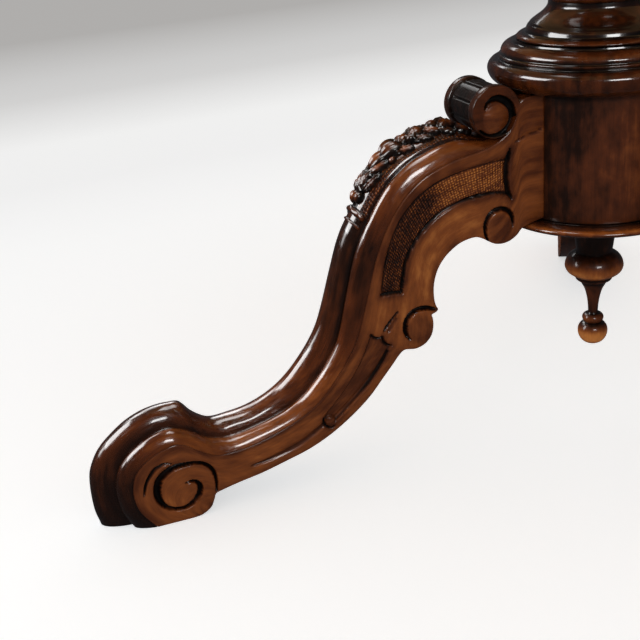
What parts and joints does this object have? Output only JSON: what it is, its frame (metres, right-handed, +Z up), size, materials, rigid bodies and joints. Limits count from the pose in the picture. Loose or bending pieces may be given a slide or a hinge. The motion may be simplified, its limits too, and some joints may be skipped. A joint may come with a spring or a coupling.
{
  "type": "centre table",
  "caption": "Round tilt-top centre table on a turned column, with a round drum, a drop finial and carved scroll legs.",
  "frame": {"origin": "on the floor under the middle of the column", "axes": "+Z up; +Y towards the back leg; the top tips forwards about X, between the two front legs"},
  "size_m": [1.2, 1.2, 0.73],
  "materials": {
    "polished_walnut": "dark red-brown French polish, glossy",
    "burr_walnut_veneer": "polished veneer",
    "pine": "planed and stained on the underside",
    "mahogany": "planed, waxed",
    "beech": "plain",
    "brass": "worn, lightly tarnished",
    "steel": "plain, darkened"
  },
  "bodies": {
    "base": {"leg_left": "polished_walnut", "leg_right": "polished_walnut", "leg_back": "polished_walnut", "leg_dowel_left_lower": "beech", "leg_dowel_left_upper": "beech", "leg_dowel_right_lower": "beech", "leg_dowel_right_upper": "beech", "leg_dowel_back_lower": "beech", "leg_dowel_back_upper": "beech", "leg_drum": "polished_walnut", "base_disc": "polished_walnut", "base_disc_screw_1": "steel", "base_disc_screw_2": "steel", "base_disc_screw_3": "steel", "drop_finial": "polished_walnut", "collar": "polished_walnut", "column": "polished_walnut", "tenon_wedge": "beech", "tilt_block": "mahogany", "pivot_bolt_left": "steel", "pivot_bolt_right": "steel", "pivot_washer_left": "brass", "pivot_washer_right": "brass", "keeper_plate": "brass", "keeper_screw_left": "steel", "keeper_screw_right": "steel"},
    "top": {"top_core": "pine", "top_veneer": "burr_walnut_veneer", "edge_moulding": "polished_walnut", "bearer_left": "mahogany", "bearer_right": "mahogany", "bearer_screw_left_1": "steel", "bearer_screw_left_2": "steel", "bearer_screw_left_3": "steel", "bearer_screw_right_1": "steel", "bearer_screw_right_2": "steel", "bearer_screw_right_3": "steel", "catch_plate": "brass", "catch_screw_front_left": "steel", "catch_screw_front_right": "steel", "catch_screw_back_left": "steel", "catch_screw_back_right": "steel"},
    "catch": {"catch_bolt": "brass", "catch_knob": "brass"}
  },
  "joints": [
    {"name": "top_tilt", "type": "hinge", "parent": "base", "child": "top", "pos_m": [0, -0.13, 0.6765], "axis": [1, 0, 0], "range_deg": [0, 90]},
    {"name": "catch_slide", "type": "slide", "parent": "top", "child": "catch", "axis": [0, -1, 0], "range_m": [0, 0.012]}
  ]
}
